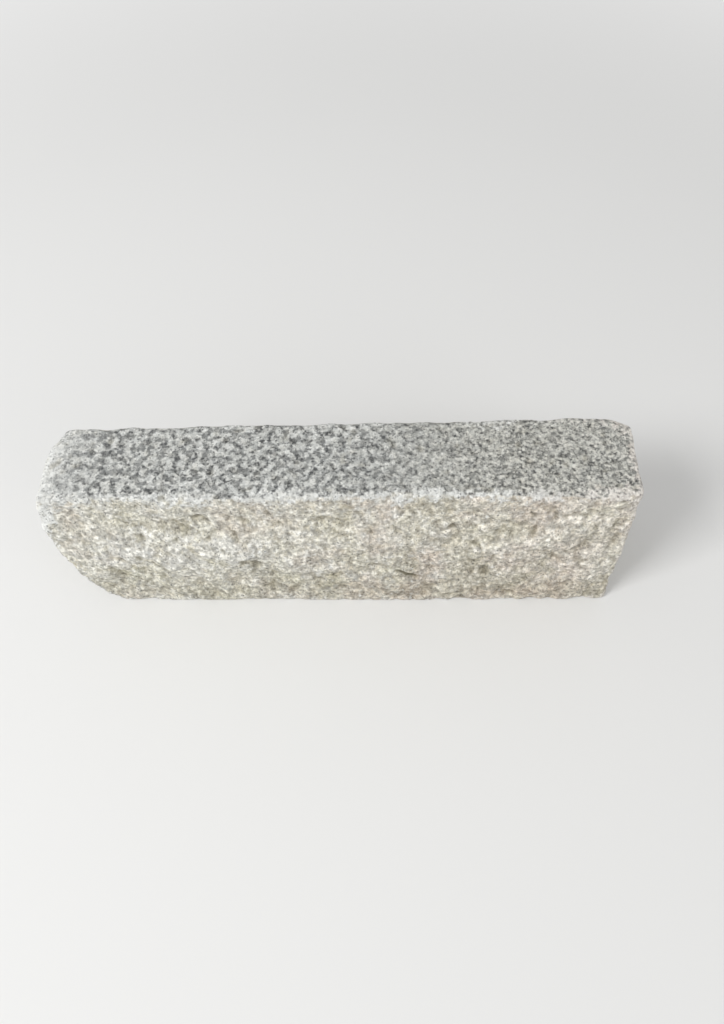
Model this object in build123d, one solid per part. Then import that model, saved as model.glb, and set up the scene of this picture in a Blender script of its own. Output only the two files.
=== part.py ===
from build123d import *

# A granite kerb stone: one block, split from a larger one and then dressed where it shows.
#
# The top is dressed flat, with a dressed strip down each side of it. The road face below its strip, the back and
# the lower ends are left as the splitting left them: they swell and hollow along the stone, and shell-shaped
# flakes have come off them. The two joint faces and the bed are flat. The left end has lost its lower corner.
#
# Millimetres. +Z is up and +X along the kerb. The road side faces -Y. The origin is the middle of the bed.
# Left and right are as seen from the road.

import os

# Overall size, between the joint faces and from the bed to the top
LENGTH = 800.0
HEIGHT = 250.0

# The arris, the top's front edge, stands back from the foot of the road face by the batter.
BATTER_LEFT = 35.0
BATTER_RIGHT = 42.0

# The top widens a little towards its right end.
TOP_WIDTH_LEFT = 115.0
TOP_WIDTH_RIGHT = 123.0

# Down from the top, the dressed strips on the road face and the back, and up from the bed, the bellies below them
FACE_STRIP = 50.0
FACE_BELLY_HEIGHT = 135.0
BACK_STRIP = 70.0
BACK_BELLY_HEIGHT = 105.0

# How the splitting went, at stations that divide the length evenly from left to right:
# the foot stands in from the foremost line, the face's belly swells out, the line under the strip is hollowed,
# the arris strays inwards, the back's belly swells out behind the top, and its toe is drawn in from that belly.
STATIONS = [
    (8.0, 4.0, 1.5, 0.0, 6.0, 6.0),
    (4.0, 9.0, 4.5, 1.5, 7.5, 12.0),
    (3.0, 6.0, 3.5, -1.0, 3.0, 5.0),
    (1.0, 2.5, 0.5, 2.0, 5.0, 10.0),
    (0.0, 2.0, 2.0, -1.5, 5.5, 7.0),
    (3.0, 3.0, 0.5, 0.5, 3.0, 13.0),
]

# What is cut off to dress the bed and the top flat
DRESSING = 10.0

# Worn edges: round the top, and down the corners of the joint faces
TOP_EDGE_ROUND = 5.0
CORNER_ROUND = 7.0

# The upper part of the left joint face leans in: how far, and how far down
LEFT_LEAN = (9.0, 45.0)

# Breaks below the joint faces, as corners from the top down: how far in from the joint face, and how high.
# A break runs in further at the road side than at the back, by its skew.
LEFT_BREAK = [(0.0, 152.0), (26.0, 42.0), (60.0, 0.0)]
RIGHT_BREAK = [(0.0, 90.0), (7.0, 0.0)]
BREAK_SKEW = 0.12

# Chips off the back corners of the top: how far each runs along the stone, across it and down
LEFT_CHIP = (28.0, 56.0, 110.0)
RIGHT_CHIP = (30.0, 17.0, 48.0)

# Flakes off the split faces: the middle, as shares of the length from the left and of the height from the bed,
# then the outline's radius and the depth
ROAD_FLAKES = [
    (0.125, 0.25, 50.0, 4.0),
    (0.355, 0.28, 60.0, 5.0),
    (0.478, 0.36, 44.0, 3.5),
    (0.602, 0.44, 62.0, 3.5),
    (0.705, 0.29, 42.0, 4.5),
    (0.812, 0.78, 20.0, 2.5),
    (0.858, 0.34, 56.0, 4.5),
    (0.948, 0.60, 40.0, 3.5),
]
BACK_FLAKES = [
    (0.100, 0.46, 60.0, 8.0),
    (0.235, 0.24, 72.0, 9.0),
    (0.345, 0.54, 58.0, 6.0),
    (0.470, 0.22, 66.0, 8.0),
    (0.585, 0.50, 70.0, 8.0),
    (0.715, 0.24, 62.0, 7.0),
    (0.840, 0.52, 66.0, 8.0),
    (0.940, 0.20, 52.0, 6.0),
]

# Flakes off the ends, below the joint faces: the middle, as shares of the depth from the road side and of the
# height, then the radius and the depth
LEFT_END_FLAKES = [(0.28, 0.33, 36.0, 4.0), (0.74, 0.28, 48.0, 7.0)]
RIGHT_END_FLAKES = [(0.22, 0.22, 30.0, 4.0), (0.55, 0.30, 46.0, 6.0), (0.82, 0.42, 34.0, 4.0)]

# Small flakes knocked off the arris: the middle, as a share of the length, then the radius and the depth
ARRIS_FLAKES = [(0.225, 25.0, 3.5), (0.410, 14.0, 2.0), (0.600, 23.0, 3.5), (0.915, 17.0, 2.5)]

LEFT_X, RIGHT_X = -LENGTH / 2, LENGTH / 2


def part_way(start, end, share):
    """The value that lies a share of the way from start to end."""
    return start + (end - start) * share


def arris_y(share):
    """How far the straight arris stands behind the foremost line of the foot, at a share of the length."""
    return part_way(BATTER_LEFT, BATTER_RIGHT, share)


def top_back_y(share):
    """How far the top's back edge stands behind that line, at a share of the length."""
    return arris_y(share) + part_way(TOP_WIDTH_LEFT, TOP_WIDTH_RIGHT, share)


def section(share, foot_in, face_swell, hollow, stray, back_swell, toe_in):
    """The stone's cross-section at a share of its length, with the dressing allowance above and below."""
    arris = arris_y(share) + stray
    top_back = top_back_y(share)
    strip_height = HEIGHT - FACE_STRIP
    face_belly = part_way(foot_in, arris, FACE_BELLY_HEIGHT / HEIGHT) - face_swell
    back_belly = top_back + back_swell
    outline = [
        (part_way(foot_in, face_belly, -DRESSING / FACE_BELLY_HEIGHT), -DRESSING),
        (face_belly, FACE_BELLY_HEIGHT),
        (part_way(foot_in, arris, strip_height / HEIGHT) + hollow, strip_height),
        (arris, HEIGHT),
        (arris, HEIGHT + DRESSING),
        (top_back, HEIGHT + DRESSING),
        (top_back, HEIGHT - BACK_STRIP),
        (back_belly, BACK_BELLY_HEIGHT),
        (part_way(back_belly - toe_in, back_belly, -DRESSING / BACK_BELLY_HEIGHT), -DRESSING),
    ]
    x = part_way(LEFT_X, RIGHT_X, share)
    return make_face(Polyline([(x, y, z) for y, z in outline], close=True))


def dressed_block():
    """The split block, lofted through its stations, with its bed and its top dressed flat."""
    steps = len(STATIONS) - 1
    block = loft([section(i / steps, *station) for i, station in enumerate(STATIONS)])
    block = split(block, bisect_by=Plane.XY, keep=Keep.TOP)
    return split(block, bisect_by=Plane.XY.offset(HEIGHT), keep=Keep.BOTTOM)


def round_corners(block):
    """The block with the corners of its two joint faces worn round from the bed to the top."""
    by_x = block.faces().sort_by(Axis.X)
    edges = by_x[0].edges() + by_x[-1].edges()
    return fillet([edge for edge in edges if abs(edge.tangent_at(0).Z) > 0.5], CORNER_ROUND)


def cut_beyond(block, point, outward):
    """The block without what lies beyond the plane through a point that faces outward."""
    return split(block, bisect_by=Plane(origin=point, z_dir=outward), keep=Keep.BOTTOM)


def break_end(block, joint_x, corners):
    """The block with its end broken back below the joint face, in one plane between each two corners."""
    side = 1 if joint_x > 0 else -1
    for (inset, height), (next_inset, next_height) in zip(corners, corners[1:]):
        drop, run = height - next_height, next_inset - inset
        at_road_side = (joint_x - side * inset, 0, height)
        block = cut_beyond(block, at_road_side, (side * drop, -BREAK_SKEW * drop, -run))
    return block


def chip_corner(block, share, chip):
    """The block without the back corner of its top at one end, along the plane through the chip's three corners."""
    side = 1 if share > 0 else -1
    along, across, down = chip
    point = (part_way(LEFT_X, RIGHT_X, share) - side * along, top_back_y(share), HEIGHT)
    return cut_beyond(block, point, (side / along, 1 / across, 1 / down))


def flakes():
    """Each flake, as a line that meets the stone at the flake's middle (start, direction), its radius and depth."""
    outside = 2 * HEIGHT
    for share, height_share, reach, depth in ROAD_FLAKES:
        yield (part_way(LEFT_X, RIGHT_X, share), -outside, HEIGHT * height_share), (0, 1, 0), reach, depth
    for share, height_share, reach, depth in BACK_FLAKES:
        yield (part_way(LEFT_X, RIGHT_X, share), outside, HEIGHT * height_share), (0, -1, 0), reach, depth
    for share, height_share, reach, depth in LEFT_END_FLAKES:
        yield (LEFT_X - outside, top_back_y(0) * share, HEIGHT * height_share), (1, 0, 0), reach, depth
    for share, height_share, reach, depth in RIGHT_END_FLAKES:
        yield (RIGHT_X + outside, top_back_y(1) * share, HEIGHT * height_share), (-1, 0, 0), reach, depth
    for share, reach, depth in ARRIS_FLAKES:
        above = (part_way(LEFT_X, RIGHT_X, share), arris_y(share) - outside, HEIGHT + outside)
        yield above, (0, 1, -1), reach, depth


def flake_off(block, start, towards, reach, depth):
    """The block less a ball that leaves a shell-shaped hollow where a line from start first meets the stone."""
    point, normal = block.find_intersection_points(Axis(start, towards))[0]
    outward = normal if normal.dot(Vector(towards)) < 0 else -normal
    radius = (reach**2 + depth**2) / (2 * depth)
    return block - Pos(point + outward * (radius - depth)) * Sphere(radius)


def kerb_stone():
    """The whole stone, moved so that the origin is the middle of its bed."""
    stone = round_corners(dressed_block())
    lean_in, lean_down = LEFT_LEAN
    stone = cut_beyond(stone, (LEFT_X + lean_in, 0, HEIGHT), (-lean_down, 0, lean_in))
    stone = break_end(stone, LEFT_X, LEFT_BREAK)
    stone = break_end(stone, RIGHT_X, RIGHT_BREAK)
    stone = chip_corner(stone, 0, LEFT_CHIP)
    stone = chip_corner(stone, 1, RIGHT_CHIP)
    top = stone.faces().sort_by(Axis.Z)[-1]
    stone = fillet(top.edges(), TOP_EDGE_ROUND)
    for flake in flakes():
        stone = flake_off(stone, *flake)
    return Pos(0, -stone.bounding_box().center().Y, 0) * stone


os.makedirs("parts", exist_ok=True)
export_step(kerb_stone(), "parts/kerb_stone.step")
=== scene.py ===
import bpy
import numpy as np
from mathutils import Matrix, Vector

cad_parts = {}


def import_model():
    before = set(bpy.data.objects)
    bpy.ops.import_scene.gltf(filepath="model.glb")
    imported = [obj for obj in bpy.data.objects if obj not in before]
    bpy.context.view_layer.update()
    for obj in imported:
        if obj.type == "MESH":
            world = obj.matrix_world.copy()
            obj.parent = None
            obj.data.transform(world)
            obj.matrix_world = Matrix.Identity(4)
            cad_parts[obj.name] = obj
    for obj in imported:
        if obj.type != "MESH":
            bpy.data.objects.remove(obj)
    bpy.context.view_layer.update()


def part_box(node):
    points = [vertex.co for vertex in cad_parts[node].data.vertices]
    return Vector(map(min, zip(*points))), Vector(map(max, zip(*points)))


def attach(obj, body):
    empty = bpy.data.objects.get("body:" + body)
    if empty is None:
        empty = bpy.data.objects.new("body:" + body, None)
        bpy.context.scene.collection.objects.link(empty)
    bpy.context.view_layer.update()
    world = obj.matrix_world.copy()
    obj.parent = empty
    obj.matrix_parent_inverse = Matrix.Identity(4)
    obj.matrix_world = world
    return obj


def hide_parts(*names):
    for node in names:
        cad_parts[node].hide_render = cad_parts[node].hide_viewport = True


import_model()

# A granite kerb stone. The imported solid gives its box. This script gives the stone its split and bush
# hammered surfaces and its granite. Metres, in the solid's own frame: +X along the kerb, -Y the road side,
# +Z up. Left and right are as seen from the road.

MM = 0.001

# The stone's form, as in the solid
LOW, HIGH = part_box("kerb_stone")
LEFT_X, RIGHT_X = LOW.x, HIGH.x
FOOT_Y = LOW.y
HEIGHT = HIGH.z
BATTER = (35 * MM, 42 * MM)
TOP_WIDTH = (115 * MM, 123 * MM)
FACE_STRIP = 50 * MM
FACE_BELLY_HEIGHT = 135 * MM
BACK_STRIP = 70 * MM
BACK_BELLY_HEIGHT = 105 * MM

# How the splitting went, at stations from left to right: the foot stands in, the face's belly swells out,
# the line under the strip is hollowed, the arris strays inwards, the back's belly swells out, and its toe
# is drawn in.
STATIONS = MM * np.array([
    (8.0, 4.0, 1.5, 0.0, 6.0, 6.0),
    (4.0, 9.0, 4.5, 1.5, 7.5, 12.0),
    (3.0, 6.0, 3.5, -1.0, 3.0, 5.0),
    (1.0, 2.5, 0.5, 2.0, 5.0, 10.0),
    (0.0, 2.0, 2.0, -1.5, 5.5, 7.0),
    (3.0, 3.0, 0.5, 0.5, 3.0, 13.0),
])

# Breaks and chips, as in the solid
LEFT_LEAN = (9 * MM, 45 * MM)
LEFT_BREAK = [(0.0, 152 * MM), (26 * MM, 42 * MM), (60 * MM, 0.0)]
RIGHT_BREAK = [(0.0, 90 * MM), (7 * MM, 0.0)]
BREAK_SKEW = 0.12
LEFT_CHIP = (28 * MM, 56 * MM, 110 * MM)
RIGHT_CHIP = (30 * MM, 17 * MM, 48 * MM)

# Flakes, as in the solid: share of the length or depth, share of the height, then radius and depth in
# millimetres
ROAD_FLAKES = [
    (0.125, 0.25, 50.0, 4.0),
    (0.355, 0.28, 60.0, 5.0),
    (0.478, 0.36, 44.0, 3.5),
    (0.602, 0.44, 62.0, 3.5),
    (0.705, 0.29, 42.0, 4.5),
    (0.812, 0.78, 20.0, 2.5),
    (0.858, 0.34, 56.0, 4.5),
    (0.948, 0.60, 40.0, 3.5),
]
BACK_FLAKES = [
    (0.100, 0.46, 60.0, 8.0),
    (0.235, 0.24, 72.0, 9.0),
    (0.345, 0.54, 58.0, 6.0),
    (0.470, 0.22, 66.0, 8.0),
    (0.585, 0.50, 70.0, 8.0),
    (0.715, 0.24, 62.0, 7.0),
    (0.840, 0.52, 66.0, 8.0),
    (0.940, 0.20, 52.0, 6.0),
]
LEFT_END_FLAKES = [(0.28, 0.33, 36.0, 4.0), (0.74, 0.28, 48.0, 7.0)]
RIGHT_END_FLAKES = [(0.22, 0.22, 30.0, 4.0), (0.55, 0.30, 46.0, 6.0), (0.82, 0.42, 34.0, 4.0)]
ARRIS_FLAKES = [(0.225, 25.0, 3.5), (0.410, 14.0, 2.0), (0.600, 23.0, 3.5), (0.915, 17.0, 2.5)]

# Nicks in the road face, too fine for the solid: share of the length, share of the height, then half the
# width, half the height and the depth in millimetres
ROAD_NICKS = [
    (0.158, 0.66, 5.0, 8.0, 3.0),
    (0.266, 0.82, 7.0, 6.0, 2.6),
    (0.323, 0.44, 6.0, 9.0, 3.6),
    (0.323, 0.68, 3.5, 12.0, 3.2),
    (0.342, 0.78, 5.0, 6.0, 2.6),
    (0.346, 0.40, 5.0, 11.0, 4.0),
    (0.384, 0.86, 3.5, 9.0, 2.8),
    (0.444, 0.74, 4.0, 5.0, 4.0),
    (0.475, 0.80, 6.0, 7.0, 3.0),
    (0.597, 0.70, 4.5, 8.0, 3.0),
    (0.669, 0.77, 5.0, 5.0, 2.6),
    (0.693, 0.73, 5.0, 8.0, 4.5),
    (0.730, 0.59, 7.0, 6.0, 3.2),
    (0.737, 0.40, 18.0, 26.0, 2.4),
    (0.758, 0.32, 8.0, 14.0, 5.5),
    (0.804, 0.75, 10.0, 8.0, 2.8),
    (0.812, 0.12, 18.0, 13.0, 1.4),
    (0.824, 0.82, 7.0, 5.0, 3.0),
    (0.832, 0.69, 3.5, 14.0, 3.8),
    (0.858, 0.87, 13.0, 12.0, 1.6),
    (0.862, 0.83, 3.0, 11.0, 3.0),
    (0.900, 0.70, 5.0, 8.0, 2.6),
    (0.959, 0.11, 4.0, 5.0, 3.2),
    (0.978, 0.57, 4.0, 10.0, 3.0),
]

# How round each kind of edge is worn, as the width over which the two sides blend
CORNER_WEAR = 8 * MM
TOP_WEAR = 7 * MM
BREAK_WEAR = 5 * MM
FLAKE_WEAR = 3 * MM
BED_WEAR = 4 * MM

# How far in from an edge the stone is bruised whitish, how much further at the left and the right end, and
# what share of that away from the top
EDGE_REACH = 20 * MM
LEFT_EDGE_REACH = 1.7
RIGHT_EDGE_REACH = 0.3
LOW_EDGE_REACH = 0.6

# Where the ends are more worn, out from the middle: from where it begins to where it is full
LEFT_END = (300 * MM, -LEFT_X)
LEFT_RIM = (310 * MM, 360 * MM)
LEFT_TIP = (355 * MM, 390 * MM)
RIGHT_END = (340 * MM, RIGHT_X)
RIGHT_RIM = (370 * MM, 385 * MM)

# More bruises along the arris, where nothing came off: share of the length and half the width
ARRIS_BRUISES = [(0.265, 22 * MM), (0.330, 9 * MM), (0.505, 13 * MM), (0.770, 12 * MM), (0.830, 13 * MM)]

# A flake's bruise, as a share of the flake's own width, then how strong a bruise is, and how much of a step
# along the stone, across it and up it counts
FLAKE_BRUISE = 0.8
BRUISE_STRENGTH = 1.05
BRUISE_SHAPE = (0.6, 1, 0.8)

# The lighter patches of the road face, a painted highlight where its belly swells out and a lighter patch
# by its right end: the middle along and up, and how far it reaches each way
LIGHTER_PATCHES = MM * np.array([(-222.0, 134.0, 128.0, 46.0), (355.0, 172.0, 38.0, 52.0)])

# The stone is darker towards its foot, a painted shade, up to about here
FOOT_SHADE_HEIGHT = 95 * MM

# A long shallow groove under the road face's strip: from, to, height, half width and depth
GROOVE = (-330 * MM, 0 * MM, 196 * MM, 8 * MM, 1.3 * MM)

# A scratch across the road face: its two ends along and up, its half width and depth
SCRATCH = ((80 * MM, 77 * MM), (109 * MM, 62 * MM), 2.6 * MM, 4 * MM)

# Right of here, the road face split in slanting ridges that rise to the right
RIDGES_FROM = 60 * MM
RIDGE_SLOPE = np.radians(24)

# The road face burst in grains that stand upright: how wide they are for their height
GRAIN_WIDTH = 0.84

# How strong each kind of relief is: the broad swelling, the shell facets and how much less they are on the
# road face, the chips, the crumbled grain, the slanting ridges, the hammer's marks and pits, and the knocks
# along worn edges
SWELL = 1.6 * MM
FACETS = 4.6 * MM
ROAD_FACETS_LESS = 0.7 * MM
CHIPS = 3.9 * MM
CRUMBLE = 1.5 * MM
RIDGES = 2.4 * MM
HAMMERED = 0.55 * MM
PITS = 1.3 * MM
KNOCKS = 2.2 * MM

# The mesh: quads along the stone, across it and up it
QUADS = (296, 56, 92)

# The core inside the stone, from which lines go out to its surface: two opposite corners
CORE_LOW = (LEFT_X + 90 * MM, -20 * MM, 70 * MM)
CORE_HIGH = (RIGHT_X - 60 * MM, 20 * MM, 190 * MM)


def part_way(start, end, share):
    """The value that lies a share of the way from start to end."""
    return start + (end - start) * share


def smooth_step(value, low, high):
    """0 below low, 1 above high, and between them three times the square less twice the cube of the
    share."""
    share = np.clip((value - low) / (high - low), 0, 1)
    return share * share * (3 - 2 * share)


# Noise


def hashed(cells, seed):
    """Three numbers from 0 to 1 for each whole-numbered cell: the fraction of a large sine of its place."""
    turn = cells @ np.array([12.9898, 78.233, 37.719]) + 17.13 * seed
    return np.stack([np.modf(np.abs(np.sin(turn + k * 4.1) * 43758.5453))[0] for k in range(3)], axis=-1)


def grain(points, size, seed):
    """Gradient noise from -1 to 1 on cells of a size: at each cell corner a random slope times the
    offset from that corner, blended over the cell by the fifth-degree curve 6t^5 - 15t^4 + 10t^3."""
    scaled = points / size + 100.0
    base = np.floor(scaled)
    inside = scaled - base
    blend = inside**3 * (inside * (inside * 6 - 15) + 10)
    total = np.zeros(len(points))
    for corner in np.ndindex(2, 2, 2):
        slopes = hashed(base + corner, seed) * 2 - 1
        weight = np.prod(np.where(corner, blend, 1 - blend), axis=1)
        total += weight * np.sum(slopes * (inside - corner), axis=1)
    return total * 1.4


def layered(points, size, seed, layers=3, roughness=0.5):
    """Gradient noise in layers, each of half the size and a share of the strength of the one before."""
    return sum(
        roughness**k * grain(points, size / 2**k, seed + 31 * k) for k in range(layers)
    )


def bowls(points, size, seed, tilt=0.5):
    """Scalloped facets, as where flakes have burst off: the lowest of many shallow bowls, one round a
    random point of each cell, each a squared distance plus a random tilt and height. 0 is low and about
    1 is a ridge."""
    scaled = points / size + 100.0
    base = np.floor(scaled)
    lowest = np.full(len(points), np.inf)
    for step in np.ndindex(3, 3, 3):
        cell = base + np.array(step) - 1
        offset = scaled - (cell + hashed(cell, seed))
        slopes = hashed(cell, seed + 5) * 2 - 1
        height = hashed(cell, seed + 9)[:, 0]
        bowl = np.sum(offset**2, axis=1) + tilt * np.sum(slopes * offset, axis=1) + 0.35 * height
        lowest = np.minimum(lowest, bowl)
    return lowest


# The form, as a depth that is below 0 inside the stone and above 0 outside it


def station_curves():
    """For each column of STATIONS, the polynomial in the share of the length that passes through its
    values."""
    shares = np.linspace(0, 1, len(STATIONS))
    return [np.polyfit(shares, column, len(STATIONS) - 1) for column in STATIONS.T]


STATION_CURVES = station_curves()


def stations_at(share):
    """The stations' values at shares of the length, from the polynomials through them."""
    return [np.polyval(curve, np.clip(share, 0, 1)) for curve in STATION_CURVES]


def share_of_length(x):
    """How far along the stone x is, from 0 at the left joint face to 1 at the right one."""
    return (x - LEFT_X) / (RIGHT_X - LEFT_X)


def arris_y(share):
    """Where the straight arris stands at a share of the length: the foot's line plus the batter there."""
    return FOOT_Y + part_way(*BATTER, share)


def top_back_y(share):
    """Where the top's back edge stands: the straight arris plus the top's width there."""
    return arris_y(share) + part_way(*TOP_WIDTH, share)


def road_y(x, z):
    """The road face: straight lines from the foot to the belly, to the strip's lower edge and to the
    arris."""
    share = share_of_length(x)
    foot_in, face_swell, hollow, stray, _, _ = stations_at(share)
    foot = FOOT_Y + foot_in
    arris = arris_y(share) + stray
    strip_height = HEIGHT - FACE_STRIP
    belly = part_way(foot, arris, FACE_BELLY_HEIGHT / HEIGHT) - face_swell
    strip_foot = part_way(foot, arris, strip_height / HEIGHT) + hollow
    lower = part_way(foot, belly, z / FACE_BELLY_HEIGHT)
    middle = part_way(belly, strip_foot, (z - FACE_BELLY_HEIGHT) / (strip_height - FACE_BELLY_HEIGHT))
    upper = part_way(strip_foot, arris, (z - strip_height) / FACE_STRIP)
    return np.where(z < FACE_BELLY_HEIGHT, lower, np.where(z < strip_height, middle, upper))


def back_y(x, z):
    """The back: straight lines from the toe to the belly and to the strip's lower edge, then straight
    up."""
    share = share_of_length(x)
    _, _, _, _, back_swell, toe_in = stations_at(share)
    strip = top_back_y(share)
    belly = strip + back_swell
    strip_height = HEIGHT - BACK_STRIP
    lower = belly - toe_in * (1 - z / BACK_BELLY_HEIGHT)
    middle = part_way(belly, strip, (z - BACK_BELLY_HEIGHT) / (strip_height - BACK_BELLY_HEIGHT))
    return np.where(z < BACK_BELLY_HEIGHT, lower, np.where(z < strip_height, middle, strip))


def blended_most(first, second, width):
    """The larger of two depths, raised by a quarter of width times the square of their closeness, which
    rounds the edge where the two sides meet."""
    close = np.clip(1 - np.abs(first - second) / width, 0, 1)
    return np.maximum(first, second) + close * close * width / 4


def break_planes(side, corners):
    """The planes of a broken end, each as a point and an outward direction, one between each two
    corners."""
    joint_x = RIGHT_X if side > 0 else LEFT_X
    planes = []
    for (inset, height), (next_inset, next_height) in zip(corners, corners[1:]):
        drop, run = height - next_height, next_inset - inset
        point = (joint_x - side * inset, FOOT_Y, height)
        planes.append((point, (side * drop, -BREAK_SKEW * drop, -run)))
    return planes


def chip_plane(side, chip):
    """The plane through the three corners of a chip off a back corner of the top."""
    along, across, down = chip
    joint_x, share = (RIGHT_X, 1) if side > 0 else (LEFT_X, 0)
    return (joint_x - side * along, top_back_y(share), HEIGHT), (side / along, 1 / across, 1 / down)


def broken_planes():
    """Every plane along which the stone has lost a corner, as a point and an outward direction of
    length 1."""
    lean_in, lean_down = LEFT_LEAN
    planes = [
        ((LEFT_X + lean_in, 0, HEIGHT), (-lean_down, 0, lean_in)),
        *break_planes(-1, LEFT_BREAK),
        *break_planes(1, RIGHT_BREAK),
        chip_plane(-1, LEFT_CHIP),
        chip_plane(1, RIGHT_CHIP),
    ]
    return [(np.array(point), np.array(outward) / np.linalg.norm(outward)) for point, outward in planes]


BROKEN_PLANES = broken_planes()


def top_wear(x):
    """How round the top's edges are at x: the usual wear, more and less along the stone by a few sines."""
    slow = np.sin(x / (19 * MM) + 2 * np.sin(x / (47 * MM)))
    return TOP_WEAR * (1.2 + 0.35 * slow + 0.2 * np.sin(x / (7.3 * MM) + slow))


def sides(points):
    """Each side of the sharp-edged block, as how far outside it the points lie and how round its edges
    are."""
    x, y, z = points.T
    yield road_y(x, z) - y, CORNER_WEAR
    yield y - back_y(x, z), CORNER_WEAR
    yield LEFT_X - x, CORNER_WEAR
    yield x - RIGHT_X, CORNER_WEAR
    for point, outward in BROKEN_PLANES:
        yield (points - point) @ outward, BREAK_WEAR
    yield z - HEIGHT, top_wear(x)
    yield -z, BED_WEAR


def block_depth(points):
    """How far outside the block the points lie, with its breaks and chips, before any flake came off."""
    depth = np.full(len(points), -1.0)
    for side, wear in sides(points):
        depth = blended_most(depth, side, wear)
    return depth


def nearness_to_edge(points, reach):
    """1 at an edge between two sides and 0 from reach away: one less the second nearest side's share of
    reach."""
    second = np.sort([side for side, _ in sides(points)], axis=0)[-2]
    return np.clip(1 + second / reach, 0, 1)


def surface_between(inside, outside, depth_at, halvings=26):
    """Where each line from a point inside to a point outside leaves the stone, by halving the line."""
    near, far = np.zeros(len(inside)), np.ones(len(inside))
    for _ in range(halvings):
        middle = (near + far) / 2
        is_in = depth_at(inside + (outside - inside) * middle[:, None]) < 0
        near, far = np.where(is_in, middle, near), np.where(is_in, far, middle)
    return inside + (outside - inside) * near[:, None]


def outward_at(points, depth_at, step=0.5 * MM):
    """The outward direction at each point: how fast the depth changes along X, Y and Z."""
    changes = [depth_at(points + step * axis) - depth_at(points - step * axis) for axis in np.eye(3)]
    slopes = np.stack(changes, axis=-1)
    return slopes / np.linalg.norm(slopes, axis=1, keepdims=True)


def flake_balls():
    """The ball that cuts each flake: its middle and radius. It touches the flake's deepest point, and
    its radius is half of the outline's radius squared plus the depth squared, over the depth."""
    inside, outside, sizes = [], [], []

    def add(start, end, reach, depth):
        outside.append(start)
        inside.append(end)
        sizes.append((reach * MM, depth * MM))

    far = 2 * HEIGHT
    for share, height_share, reach, depth in ROAD_FLAKES:
        x, z = part_way(LEFT_X, RIGHT_X, share), HEIGHT * height_share
        add((x, -far, z), (x, 0, z), reach, depth)
    for share, height_share, reach, depth in BACK_FLAKES:
        x, z = part_way(LEFT_X, RIGHT_X, share), HEIGHT * height_share
        add((x, far, z), (x, 0, z), reach, depth)
    for joint_x, side_flakes, end in ((LEFT_X, LEFT_END_FLAKES, 0), (RIGHT_X, RIGHT_END_FLAKES, 1)):
        for share, height_share, reach, depth in side_flakes:
            y, z = part_way(FOOT_Y, top_back_y(end), share), HEIGHT * height_share
            add((2 * joint_x, y, z), (0, y, z), reach, depth)
    for share, reach, depth in ARRIS_FLAKES:
        x, y = part_way(LEFT_X, RIGHT_X, share), arris_y(share)
        add((x, y - far, HEIGHT + far), (x, y + FACE_STRIP, HEIGHT - FACE_STRIP), reach, depth)
    inside, outside = np.array(inside), np.array(outside)
    reach, depth = np.array(sizes).T
    radius = (reach**2 + depth**2) / (2 * depth)
    touched = surface_between(inside, outside, block_depth)
    return touched + outward_at(touched, block_depth) * (radius - depth)[:, None], radius


FLAKE_MIDDLES, FLAKE_RADII = flake_balls()


def stone_depth(points):
    """How far outside the whole stone the points lie: the block, less every ball that took a flake off."""
    depth = block_depth(points)
    for middle, radius in zip(FLAKE_MIDDLES, FLAKE_RADII):
        depth = blended_most(depth, radius - np.linalg.norm(points - middle, axis=1), FLAKE_WEAR)
    return depth


def cage(along, across, up):
    """The stone's plain form, with sharp edges, as a function of three shares from 0 to 1."""
    z = HEIGHT * up
    inset = np.interp(z, *np.array([corner[::-1] for corner in LEFT_BREAK[::-1]]).T)
    x = part_way(LEFT_X + inset, RIGHT_X, along)
    return np.stack([x, part_way(road_y(x, z), back_y(x, z), across), z], axis=-1)


def box_lattice(counts):
    """The six sides of a box, each a grid of two parameters, joined along its edges. Gives each corner
    point as three shares from 0 to 1, and the quads, which face outwards."""
    counts = np.array(counts)
    strides = np.array([1, counts[0] + 1, (counts[0] + 1) * (counts[1] + 1)])
    keys = []
    for fixed, (u, v) in enumerate(((1, 2), (2, 0), (0, 1))):
        grid = np.arange(counts[u] + 1)[:, None] * strides[u] + np.arange(counts[v] + 1) * strides[v]
        loop = np.stack([grid[:-1, :-1], grid[1:, :-1], grid[1:, 1:], grid[:-1, 1:]], axis=-1)
        loop = loop.reshape(-1, 4)
        keys.append(loop[:, ::-1])
        keys.append(loop + counts[fixed] * strides[fixed])
    used, quads = np.unique(np.concatenate(keys), return_inverse=True)
    places = np.stack([used // stride % (count + 1) for stride, count in zip(strides, counts)], axis=-1)
    return places / counts, quads.reshape(-1, 4)


# The relief


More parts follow.
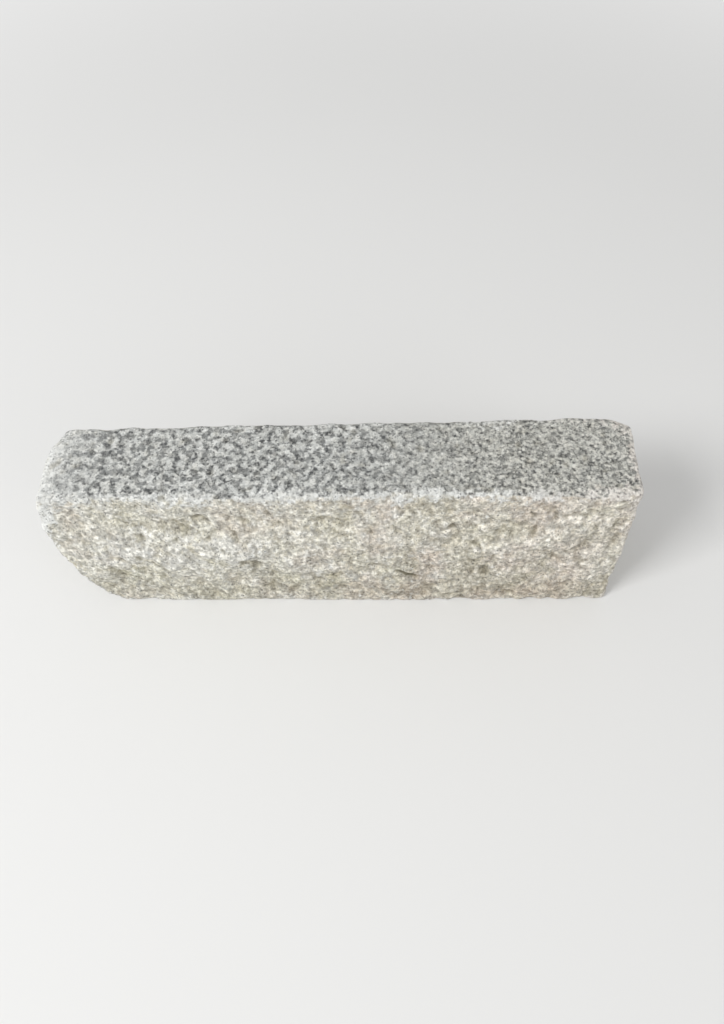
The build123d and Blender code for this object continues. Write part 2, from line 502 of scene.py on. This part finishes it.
def worn_edge(points):
    """How worn and bruised the stone is: near the top's edges, less near the others, further in and
    more at the left end, and where the arris was hit, by a bell curve of the distance from each flake's
    or bruise's middle."""
    x, y, z = points.T
    left_end = smooth_step(-x, *LEFT_END)
    right_end = smooth_step(x, *RIGHT_END)
    left_tip = smooth_step(-x, *LEFT_TIP)
    near_top = smooth_step(z, HEIGHT - 70 * MM, HEIGHT - 25 * MM)
    further = 1 + LEFT_EDGE_REACH * left_end + RIGHT_EDGE_REACH * right_end
    reach = EDGE_REACH * part_way(LOW_EDGE_REACH, further, near_top)
    at_top = smooth_step(z, HEIGHT - 45 * MM, HEIGHT - 15 * MM)
    at_top = at_top * (1 - 0.4 * smooth_step(y, 20 * MM, 50 * MM) * (1 - left_end))
    rims = smooth_step(-x, *LEFT_RIM) + 0.5 * smooth_step(x, *RIGHT_RIM)
    rims = rims * smooth_step(-y, 0.0, 30 * MM)
    edge = nearness_to_edge(points, reach) * np.maximum(at_top, 0.55 + 0.6 * rims)
    edge = edge * (1 + near_top * (0.55 * left_tip + 0.25 * right_end))
    hits = [(share, FLAKE_BRUISE * width * MM) for share, width, _ in ARRIS_FLAKES] + ARRIS_BRUISES
    for share, width in hits:
        middle = np.array([part_way(LEFT_X, RIGHT_X, share), arris_y(share), HEIGHT])
        away = np.linalg.norm((points - middle) * BRUISE_SHAPE, axis=1)
        edge = np.maximum(edge, BRUISE_STRENGTH * np.exp(-((away / width) ** 2)))
    return edge


def groove_depth(x, z):
    """The groove under the strip: a bell curve across its wandering line, fading out at both ends."""
    start, end, height, half_width, depth = GROOVE
    line = height + 4 * MM * np.sin(x / (33 * MM)) + 2.5 * MM * np.sin(x / (12 * MM) + 1)
    depth = depth * (0.75 + 0.5 * np.sin(x / (21 * MM) + 0.5))
    fade = smooth_step(x, start, start + 90 * MM) * smooth_step(-x, -end, -end + 90 * MM)
    return depth * fade * np.exp(-(((z - line) / half_width) ** 2))


def scratch_depth(x, z):
    """The scratch: a bell curve of the distance from the straight line between its two ends."""
    start, end, half_width, depth = SCRATCH
    start, run = np.array(start), np.subtract(end, start)
    offset = np.stack([x, z], axis=-1) - start
    share = np.clip(offset @ run / (run @ run), 0, 1)
    away = np.linalg.norm(offset - share[:, None] * run, axis=1)
    return depth * np.exp(-((away / half_width) ** 2))


def nick_depth(x, z):
    """The nicks: for each a bell curve both ways from its middle, and the deepest of them at each place."""
    deepest = np.zeros(len(x))
    for share, height_share, half_width, half_height, depth in ROAD_NICKS:
        along = (x - part_way(LEFT_X, RIGHT_X, share)) / (half_width * MM)
        up = (z - HEIGHT * height_share) / (half_height * MM)
        deepest = np.maximum(deepest, depth * MM * np.exp(-along * along - up * up))
    return deepest


def slanting_ridges(points):
    """Ridges from -1 to 1: layered noise, stretched five times along a line that rises to the right."""
    x, y, z = points.T
    along = x * np.cos(RIDGE_SLOPE) + z * np.sin(RIDGE_SLOPE)
    over = z * np.cos(RIDGE_SLOPE) - x * np.sin(RIDGE_SLOPE)
    return layered(np.stack([along / 5, y / 3, over], axis=-1), 26 * MM, 12, 2)


def relief(points, outward, edge):
    """How far the surface lies below the plain form, and how hollow each place is for its surroundings.
    The split faces swell and hollow both ways. The flat faces, at the limits of the stone, are only
    hollowed."""
    x, y, z = points.T
    top = smooth_step(outward[:, 2], 0.55, 0.9)
    bed = smooth_step(-outward[:, 2], 0.6, 0.9)
    joint = smooth_step(np.abs(x), RIGHT_X - 5 * MM, RIGHT_X - MM)
    joint = joint * smooth_step(np.abs(outward[:, 0]), 0.6, 0.9)
    road = smooth_step(-outward[:, 1], 0.5, 0.8)
    strip = smooth_step(z, HEIGHT - FACE_STRIP - 14 * MM, HEIGHT - FACE_STRIP + 12 * MM) * (1 - top)
    ridged = road * smooth_step(x, RIDGES_FROM, RIDGES_FROM + 90 * MM) * (1 - 0.5 * strip)

    swell = SWELL * layered(points, 95 * MM, 1, 2)
    facets = (FACETS - ROAD_FACETS_LESS * road) * (bowls(points, 44 * MM, 2) - 0.5)
    upright = points * (1, 1, GRAIN_WIDTH)
    chips = part_way(bowls(points, 16 * MM, 13, 0.7), bowls(upright, 15 * MM, 3, 0.7), road)
    chips = CHIPS * (chips - 0.45)
    crumble = part_way(layered(points, 8 * MM, 14, 2, 0.7), layered(upright, 7.5 * MM, 4, 2, 0.7), road)
    crumble = CRUMBLE * crumble
    ridges = RIDGES * slanting_ridges(points)
    stray_x, stray_z = 2.2 * MM * grain(points, 9 * MM, 51), 3.5 * MM * grain(points, 11 * MM, 52)
    marks = groove_depth(x + 3 * stray_x, z + 2 * stray_z) + nick_depth(x + stray_x, z + stray_z)
    marks = road * (marks + scratch_depth(x, z + 0.5 * stray_z))
    hammered = HAMMERED * layered(points, 9 * MM, 6, 2, 0.8)
    pits = PITS * smooth_step(grain(points, 13 * MM, 8), 0.25, 0.75)

    back_rim = (1 - road) * smooth_step(z, HEIGHT - 30 * MM, HEIGHT - 8 * MM)
    calm = 1 - (0.65 - 0.2 * road) * strip - 0.2 * back_rim * strip
    split = calm * (swell + facets + (1 - ridged) * 0.35 * facets) + chips + crumble
    split = split * calm + ridged * ridges + marks
    flat = 0.5 * MM + hammered + pits + 0.25 * swell
    joint_low = 1.0 * MM + 0.25 * facets + 0.4 * chips + 0.6 * crumble
    low = np.where(top > 0, part_way(split, flat, top), split)
    low = part_way(low, joint_low, joint)
    low = part_way(low, np.maximum(0, hammered + pits - 0.3 * MM), bed)
    knocked = np.minimum(edge, 1) ** 3 * KNOCKS * (bowls(points, 14 * MM, 21, 0.8) - 0.1)
    low = low + knocked * (1 - bed)
    low = np.maximum(low, -0.6 * np.minimum(z, HEIGHT - z))
    flaked = np.clip(-block_depth(points) - 0.5 * MM, 0, 5 * MM)
    fine = 0.8 * chips + crumble + marks + ridged * ridges * 0.5 + 0.12 * facets + 0.2 * flaked
    hollow = part_way(fine / (1.6 * MM), (hammered + pits) / (1.1 * MM), top)
    return low, smooth_step(hollow, -1.2, 2.4)


def drawn_out(points, outward):
    """How far the pattern of the grain is shifted up, which draws it out on the road face: the share
    that the grain's width lacks of its height, times how far below the top the place is."""
    return (1 - GRAIN_WIDTH) * (HEIGHT - points[:, 2]) * smooth_step(-outward[:, 1], 0.5, 0.8)


def tone(points, outward):
    """How dark and brown each place is, below 0 where it is lighter instead: darker towards the foot, a
    painted shade, up to a ragged line, less along the very foot, and lighter by bell curves in patches of
    the road face, a painted highlight on its belly."""
    x, y, z = points.T
    ragged = z + 28 * MM * layered(points, 60 * MM, 41, 3)
    foot_shade = smooth_step(-ragged, -FOOT_SHADE_HEIGHT, -0.15 * FOOT_SHADE_HEIGHT)
    foot_shade = foot_shade * (0.75 + 0.55 * smooth_step(x, -50 * MM, 100 * MM))
    foot_shade = foot_shade * (1 - 0.6 * smooth_step(-z, -30 * MM, -6 * MM))
    # Lighter by bell curves: a painted highlight on the belly, and a lighter patch by the right end.
    lightened = np.zeros(len(points))
    for middle_x, middle_z, reach_x, reach_z in LIGHTER_PATCHES:
        away = ((x - middle_x) / reach_x) ** 2 + ((z - middle_z) / reach_z) ** 2
        lightened = np.maximum(lightened, np.exp(-away))
    return foot_shade - lightened * smooth_step(-outward[:, 1], 0.5, 0.8)


def unfolded(points, outward, quads, rounds=8, least=0.15):
    """The points without folds: wherever a quad's corner faces inwards, or nearly so, by the least
    cosine that it may have, its point goes to the middle of its neighbours, a few times over."""
    points = points.copy()
    here = quads.ravel()
    after = np.roll(quads, -1, axis=1).ravel()
    before = np.roll(quads, 1, axis=1).ravel()
    neighbours = np.bincount(here)[:, None]
    for _ in range(rounds):
        facing = np.cross(points[after] - points[here], points[before] - points[here])
        facing = np.sum(facing * outward[here], axis=1) / np.linalg.norm(facing + 1e-12, axis=1)
        folded = np.unique(here[facing < least])
        sums = np.stack([np.bincount(here, points[after, axis]) for axis in range(3)], axis=-1)
        middles = sums / neighbours
        points[folded] = middles[folded]
    return points


def stone_mesh():
    """The stone's mesh: lines from a core inside the stone through its sharp form, cut off where they
    leave the rounded and flaked form, and then moved in and out by the relief."""
    shares, quads = box_lattice(QUADS)
    form = cage(*shares.T)
    core = np.clip(form, CORE_LOW, CORE_HIGH)
    points = surface_between(core, part_way(core, form, 1.15), stone_depth)
    outward = outward_at(points, stone_depth)
    edge = worn_edge(points)
    low, hollow = relief(points, outward, edge)
    points = unfolded(np.clip(points - outward * low[:, None], LOW, HIGH), outward, quads)

    mesh = bpy.data.meshes.new("kerb_stone_dressed")
    mesh.from_pydata(points, [], quads)
    mesh.shade_smooth()
    attributes = {"hollow": hollow, "edge": edge, "facing_up": outward[:, 2]}
    attributes["tone"] = tone(points, outward)
    attributes["drawn_out"] = drawn_out(points, outward)
    for name, values in attributes.items():
        attribute = mesh.attributes.new(name, "FLOAT", "POINT")
        attribute.data.foreach_set("value", values.astype(np.float32))
    return mesh


# Materials


def add_node(owner, kind, inputs=(), **settings):
    """A new shader node in a material or the world, with its settings. Each input is linked to a socket
    or set to a value."""
    node = owner.node_tree.nodes.new(kind)
    for name, value in settings.items():
        setattr(node, name, value)
    for key, value in dict(inputs).items():
        if isinstance(value, bpy.types.NodeSocket):
            owner.node_tree.links.new(value, node.inputs[key])
        else:
            node.inputs[key].default_value = value
    return node


def bare_material(name):
    """A new material with its shader only, and the shader."""
    material = bpy.data.materials.new(name)
    material.use_nodes = True
    return material, material.node_tree.nodes["Principled BSDF"]


def attribute(material, name):
    """One of the stone's own attributes, as a socket."""
    return add_node(material, "ShaderNodeAttribute", attribute_name=name).outputs["Fac"]


def mixed(material, share, first, second, blend="MIX"):
    """Two colours mixed by a share of the second."""
    node = add_node(material, "ShaderNodeMix", data_type="RGBA", blend_type=blend)
    for socket, value in ((node.inputs[0], share), (node.inputs[6], first), (node.inputs[7], second)):
        if isinstance(value, bpy.types.NodeSocket):
            material.node_tree.links.new(value, socket)
        else:
            socket.default_value = value if isinstance(value, (int, float)) else (*value, 1)
    return node.outputs[2]


def computed(material, operation, *values):
    """The result of one sum on sockets or numbers."""
    inputs = dict(enumerate(values))
    return add_node(material, "ShaderNodeMath", inputs, operation=operation).outputs["Value"]


def between(material, value, low, high, to_low=0.0, to_high=1.0):
    """A value's smooth step from low to high, taken to another range."""
    inputs = {"Value": value, "From Min": low, "From Max": high, "To Min": to_low, "To Max": to_high}
    node = add_node(material, "ShaderNodeMapRange", inputs, interpolation_type="SMOOTHSTEP")
    return node.outputs["Result"]


def noise(material, coordinates, size, detail=2.0, roughness=0.5):
    """Noise from 0 to 1 in lumps of about a size in metres."""
    inputs = {"Vector": coordinates, "Scale": 1 / size, "Detail": detail, "Roughness": roughness}
    return add_node(material, "ShaderNodeTexNoise", inputs).outputs["Fac"]


def ramp(material, value, stops, interpolation="LINEAR"):
    """A colour for each value, from stops of a place and a colour."""
    node = add_node(material, "ShaderNodeValToRGB", {"Fac": value})
    node.color_ramp.interpolation = interpolation
    elements = node.color_ramp.elements
    while len(elements) < len(stops):
        elements.new(0.5)
    for element, (place, colour) in zip(elements, stops):
        element.position = place
        element.color = (*colour, 1)
    return node.outputs["Color"]


def vector_sum(material, operation, *values):
    """The result of one sum on vectors, as a vector."""
    inputs = dict(enumerate(values))
    return add_node(material, "ShaderNodeVectorMath", inputs, operation=operation).outputs["Vector"]


def dot_product(material, vector, direction):
    """How far a vector reaches along a direction."""
    inputs = {0: vector, 1: direction}
    return add_node(material, "ShaderNodeVectorMath", inputs, operation="DOT_PRODUCT").outputs["Value"]


def one_axis(material, place, axis):
    """One of a place's X, Y and Z."""
    return add_node(material, "ShaderNodeSeparateXYZ", {"Vector": place}).outputs[axis]


def cells(material, place, per_metre):
    """Crystal cells: the random colour of each and the distance from its middle."""
    return add_node(material, "ShaderNodeTexVoronoi", {"Vector": place, "Scale": per_metre}).outputs


def one_channel(material, colour, channel):
    """One channel of a colour."""
    return add_node(material, "ShaderNodeSeparateColor", {"Color": colour}).outputs[channel]


# The granite: its crystals and flecks in cells per metre, how fine and how far their outlines stray, and
# the sizes of its coarse and fine speckle
CRYSTALS_PER_METRE = 330.0
FLECKS_PER_METRE = 620.0
STRAYS_PER_METRE = 420.0
STRAY = 2.6 * MM
COARSE_SPECKLE = 9.6 * MM
FINE_SPECKLE = 5.5 * MM


def scratch_line(material, place, stray):
    """How much of the scratch's dark line, a painted shade in its groove, each place shows: by the distance
    from it, which strays a little, by how far along it the place is, and on the road side only."""
    start, end = np.array(SCRATCH[0]), np.array(SCRATCH[1])
    middle, half_length = (start + end) / 2, np.linalg.norm(end - start) / 2
    run_x, run_z = (end - start) / (2 * half_length)

    def measured(direction_x, direction_z):
        reach = dot_product(material, place, (direction_x, 0, direction_z))
        return computed(material, "ADD", reach, -middle @ (direction_x, direction_z))

    strayed = computed(material, "MULTIPLY_ADD", stray, 2 * MM, -MM)
    over = computed(material, "ABSOLUTE", computed(material, "ADD", measured(-run_z, run_x), strayed))
    along = computed(material, "ABSOLUTE", measured(run_x, run_z))
    shown = between(material, over, 0.9 * MM, 2.3 * MM, 1.0, 0.0)
    inside = between(material, along, half_length / 2, half_length + MM, 1.0, 0.0)
    road_side = between(material, one_axis(material, place, "Y"), -30 * MM, -20 * MM, 1.0, 0.0)
    return computed(material, "MULTIPLY", computed(material, "MULTIPLY", shown, inside), road_side)


def top_granite(material, right, kind, coarse, fine):
    """The weathered top, darker and speckled, coarser at the left and finer and warmer at the right,
    and lighter at the left end. Gives its colour and its crystals' colour."""
    crystals = ramp(material, kind, [
        (0.0, (0.05, 0.05, 0.055)),
        (0.14, (0.08, 0.08, 0.08)),
        (0.18, (0.24, 0.245, 0.24)),
        (0.45, (0.36, 0.37, 0.36)),
        (0.70, (0.56, 0.57, 0.55)),
        (1.0, (0.82, 0.82, 0.79)),
    ])
    coarse_specks = between(material, coarse, 0.43, 0.58)
    fine_specks = between(material, fine, 0.40, 0.60)
    finer_right = between(material, right, -20 * MM, 250 * MM)
    specks = mixed(material, finer_right, coarse_specks, fine_specks)
    colour = ramp(material, specks, [
        (0.0, (0.11, 0.115, 0.115)),
        (0.5, (0.38, 0.39, 0.38)),
        (1.0, (0.64, 0.65, 0.63)),
    ])
    colour = mixed(material, 0.42, colour, crystals)
    warmer_right = mixed(material, finer_right, (1.0, 1.0, 1.0), (1.01, 0.99, 0.95))
    colour = mixed(material, 1.0, colour, warmer_right, "MULTIPLY")
    lighter_left = between(material, right, -390 * MM, -300 * MM, 0.38, 0.0)
    return mixed(material, lighter_left, colour, (0.60, 0.61, 0.60)), crystals


def face_granite(material, place, right, kind, coarse, fine):
    """The split faces: warm beige, pinker to the right, with whitish patches shown only where the face
    stands out, painted light on its raised places and a painted highlight on its belly, mottled by both
    speckles and darker towards the foot, a painted shade."""
    crystals = ramp(material, kind, [
        (0.0, (0.14, 0.13, 0.11)),
        (0.06, (0.18, 0.165, 0.14)),
        (0.10, (0.36, 0.33, 0.27)),
        (0.30, (0.47, 0.44, 0.37)),
        (0.60, (0.60, 0.58, 0.51)),
        (1.0, (0.84, 0.83, 0.78)),
    ])
    tint = ramp(material, noise(material, place, 75 * MM, 4.0, 0.62), [
        (0.34, (0.55, 0.545, 0.43)),
        (0.44, (0.60, 0.585, 0.49)),
        (0.54, (0.68, 0.675, 0.61)),
        (0.64, (0.65, 0.61, 0.54)),
    ])
    pink = between(material, noise(material, place, 70 * MM, 3.0, 0.6), 0.42, 0.62, 0.25, 1.0)
    pinker_right = between(material, right, -150 * MM, 150 * MM, 0.10, 0.95)
    pink = computed(material, "MULTIPLY", pink, pinker_right)
    tint = mixed(material, pink, tint, (0.625, 0.545, 0.48))
    colour = mixed(material, 0.44, tint, crystals)

    # The whitish patches: lumps of noise, and a painted highlight on the belly, shown only where the face
    # stands out, which paints light on its raised places.
    lightened = between(material, attribute(material, "tone"), -0.9, 0.0, 0.16, 0.0)
    patches = computed(material, "ADD", noise(material, place, 20 * MM, 4.0, 0.65), lightened)
    patches = between(material, patches, 0.50, 0.66)
    raised_light_mask = between(material, attribute(material, "hollow"), 0.15, 0.7, 1.0, 0.0)
    patches = computed(material, "MULTIPLY", computed(material, "MULTIPLY", patches, raised_light_mask), 0.75)
    warmer_right = between(material, right, 80 * MM, 280 * MM)
    light = mixed(material, warmer_right, (0.77, 0.77, 0.74), (0.80, 0.75, 0.675))
    light = mixed(material, 0.36, light, crystals)
    colour = mixed(material, patches, colour, light)

    fine_mottle = between(material, fine, 0.34, 0.66, 0.72, 1.22)
    coarse_mottle = between(material, coarse, 0.36, 0.64, 1.16, 0.77)
    colour = mixed(material, 1.0, colour, fine_mottle, "MULTIPLY")
    colour = mixed(material, 1.0, colour, coarse_mottle, "MULTIPLY")
    # Painted shade towards the foot: darker and browner where the tone is above 0.
    foot_shaded = between(material, attribute(material, "tone"), 0.0, 1.0, 0.0, 0.55)
    foot_shade = mixed(material, 1.0, colour, (0.66, 0.63, 0.55), "MULTIPLY")
    return mixed(material, foot_shaded, colour, foot_shade)


def bruise_colour(material, right, crystals):
    """The bruises' colour: whitish, warmer at the right end, and more speckled at the left, but for its
    very tip."""
    speckled = between(material, right, -390 * MM, -360 * MM, 0.30, 0.62)
    calmer_right = between(material, right, -240 * MM, -140 * MM, 0.0, 0.20)
    speckled = computed(material, "SUBTRACT", speckled, calmer_right)
    warmer_right = between(material, right, 200 * MM, 370 * MM)
    bruise = mixed(material, warmer_right, (0.85, 0.86, 0.84), (0.89, 0.83, 0.77))
    return mixed(material, speckled, bruise, crystals)


def bruise_band(material, place, coarse, fine):
    """How bruised each place looks: how worn the edge is, made ragged by broad patches and both
    speckles."""
    ragged = computed(material, "MINIMUM", attribute(material, "edge"), 1.15)
    for speckle, strength in ((coarse, 1.7), (noise(material, place, 60 * MM, 4.0, 0.6), 1.9), (fine, 2.1)):
        spread = computed(material, "MULTIPLY_ADD", speckle, strength, -strength / 2)
        ragged = computed(material, "ADD", ragged, spread)
    return computed(material, "MULTIPLY", between(material, ragged, 0.38, 0.98), 0.88)


def granite():
    """Granite of grey quartz, whitish and pinkish feldspar and black mica. Its top is weathered to a
    darker speckled grey, its split faces are a warm beige, and its knocked edges are whitish."""
    material, shader = bare_material("granite")
    true_place = add_node(material, "ShaderNodeTexCoord").outputs["Object"]
    drawn_out_by = add_node(material, "ShaderNodeCombineXYZ", {"Z": attribute(material, "drawn_out")})
    place = vector_sum(material, "ADD", true_place, drawn_out_by.outputs["Vector"])
    right = one_axis(material, place, "X")

    inputs = {"Vector": place, "Scale": STRAYS_PER_METRE, "Detail": 1.0}
    stray = add_node(material, "ShaderNodeTexNoise", inputs).outputs["Color"]
    stray = vector_sum(material, "SUBTRACT", stray, (0.5, 0.5, 0.5))
    stray = vector_sum(material, "MULTIPLY", stray, (STRAY, STRAY, STRAY))
    strayed = vector_sum(material, "ADD", place, stray)
    crystals = cells(material, strayed, CRYSTALS_PER_METRE)
    kind = one_channel(material, crystals["Color"], "Red")
    fleck = one_channel(material, cells(material, strayed, FLECKS_PER_METRE)["Color"], "Green")
    coarse = noise(material, place, COARSE_SPECKLE, 2.0, 0.52)
    fine = noise(material, place, FINE_SPECKLE, 3.0, 0.6)

    top_colour, top_crystals = top_granite(material, right, kind, coarse, fine)
    weathered = between(material, attribute(material, "facing_up"), 0.5, 0.85)
    face_colour = face_granite(material, place, right, kind, coarse, fine)
    colour = mixed(material, weathered, face_colour, top_colour)
    band = bruise_band(material, place, coarse, fine)
    colour = mixed(material, band, colour, bruise_colour(material, right, top_crystals))
    # Darker in the hollows and lighter on raised places, by how hollow each place is: painted shade in the
    # hollows, with some dirt, and painted light on the raised places.
    hollow_shade_dirt_and_light = ramp(material, attribute(material, "hollow"), [
        (0.12, (1.08, 1.08, 1.08)),
        (0.45, (0.95, 0.935, 0.905)),
        (0.72, (0.80, 0.78, 0.73)),
        (1.0, (0.46, 0.44, 0.39)),
    ])
    colour = mixed(material, 1.0, colour, hollow_shade_dirt_and_light, "MULTIPLY")
    mica = between(material, fleck, 0.0, 0.075, 0.75, 0.0)
    colour = mixed(material, mica, colour, (0.05, 0.05, 0.05))
    # The scratch's dark line: painted shade in its groove.
    scratch_shade = computed(material, "MULTIPLY", scratch_line(material, true_place, fine), 0.85)
    colour = mixed(material, scratch_shade, colour, (0.13, 0.12, 0.08))
    material.node_tree.links.new(colour, shader.inputs["Base Color"])
    shader.inputs["Roughness"].default_value = 0.88
    shader.inputs["Specular IOR Level"].default_value = 0.35

    rounded = computed(material, "MULTIPLY", crystals["Distance"], 0.5)
    height = computed(material, "ADD", noise(material, place, 4 * MM, 3.0, 0.7), rounded)
    bump = add_node(material, "ShaderNodeBump", {"Height": height, "Strength": 0.55, "Distance": 1.6 * MM})
    material.node_tree.links.new(bump.outputs["Normal"], shader.inputs["Normal"])
    return material


def seen_directly(owner):
    """1 for what the camera sees, in gloss and through glass too, and 0 for the light that falls on the
    stone."""
    path = add_node(owner, "ShaderNodeLightPath").outputs
    seen = computed(owner, "MAXIMUM", path["Is Camera Ray"], path["Is Glossy Ray"])
    return computed(owner, "MAXIMUM", seen, path["Is Transmission Ray"])


# The stage, the light and the camera

FLOOR_COLOUR = (0.80, 0.80, 0.79)
FLOOR_FADE = (1.1, 3.2)
SKY_LIGHT = 0.56
CAMERA_PLACE = Vector((0.061, -0.560, 1.141))
CAMERA_TOWARDS = Vector((-0.0016, 0.5336, -0.8457))
CAMERA_ROLL = 0.5
LENS = 28.0
SHIFT = (-0.020, -0.045)
LAMPS_AIM = (0, 0, 0.1)


def floor_material():
    """A pale matt floor. Seen by the camera, it fades to white away from the stone, so that no horizon
    shows."""
    material, shader = bare_material("floor")
    shader.inputs["Base Color"].default_value = (*FLOOR_COLOUR, 1)
    shader.inputs["Roughness"].default_value = 0.9
    place = add_node(material, "ShaderNodeTexCoord").outputs["Object"]
    away = add_node(material, "ShaderNodeVectorMath", {0: place}, operation="LENGTH").outputs["Value"]
    seen = seen_directly(material)
    share = computed(material, "MULTIPLY", between(material, away, *FLOOR_FADE), seen)
    white = add_node(material, "ShaderNodeEmission", {"Color": (1, 1, 1, 1), "Strength": 1.0})
    inputs = {0: share, 1: shader.outputs["BSDF"], 2: white.outputs["Emission"]}
    blend = add_node(material, "ShaderNodeMixShader", inputs)
    output = material.node_tree.nodes["Material Output"]
    material.node_tree.links.new(blend.outputs[0], output.inputs["Surface"])
    return material


def floor():
    """A pale floor, a hair below the bed, so that the two don't share a plane."""
    mesh = bpy.data.meshes.new("floor")
    reach, level = 40.0, -0.2 * MM
    corners = [(-reach, -reach), (reach, -reach), (reach, reach), (-reach, reach)]
    mesh.from_pydata([(x, y, level) for x, y in corners], [], [(0, 1, 2, 3)])
    mesh.materials.append(floor_material())
    made = bpy.data.objects.new("floor", mesh)
    bpy.context.scene.collection.objects.link(made)


def lamp(name, place, aim, size, power):
    """A square soft lamp at a place, turned to an aim."""
    data = bpy.data.lights.new(name, "AREA")
    data.shape = "SQUARE"
    data.size = size
    data.energy = power
    made = bpy.data.objects.new(name, data)
    made.location = place
    made.rotation_euler = (Vector(aim) - Vector(place)).to_track_quat("-Z", "Y").to_euler()
    bpy.context.scene.collection.objects.link(made)


def world():
    """A pale even sky, which is white where it is seen directly."""
    made = bpy.data.worlds.new("world")
    bpy.context.scene.world = made
    made.use_nodes = True
    strength = between(made, seen_directly(made), 0.0, 1.0, SKY_LIGHT, 1.0)
    background = made.node_tree.nodes["Background"]
    background.inputs["Color"].default_value = (1, 1, 1, 1)
    made.node_tree.links.new(strength, background.inputs["Strength"])


def camera():
    """The photograph's viewpoint and direction, with its roll, and a longer lens so that the stone
    fills the frame."""
    forward = CAMERA_TOWARDS.normalized()
    level_right = forward.cross(Vector((0, 0, 1))).normalized()
    level_up = level_right.cross(forward)
    roll = Matrix.Rotation(np.radians(CAMERA_ROLL), 3, forward)
    right, up = roll @ level_right, roll @ level_up
    data = bpy.data.cameras.new("camera")
    data.lens = LENS
    data.shift_x, data.shift_y = SHIFT
    made = bpy.data.objects.new("camera", data)
    turn = Matrix((right, up, -forward)).transposed().to_4x4()
    made.matrix_world = Matrix.Translation(CAMERA_PLACE) @ turn
    bpy.context.scene.collection.objects.link(made)
    bpy.context.scene.camera = made


def kerb_stone():
    """The stone, which stands for the solid."""
    made = bpy.data.objects.new("kerb_stone_dressed", stone_mesh())
    made.data.materials.append(granite())
    bpy.context.scene.collection.objects.link(made)
    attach(made, "root")
    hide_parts("kerb_stone")


camera()
kerb_stone()
floor()
world()
lamp("key", place=(-2.6, -1.5, 3.3), aim=LAMPS_AIM, size=1.6, power=108)
lamp("fill", place=(2.6, -2.4, 1.9), aim=LAMPS_AIM, size=2.2, power=17)
bpy.context.scene.view_settings.view_transform = "Standard"
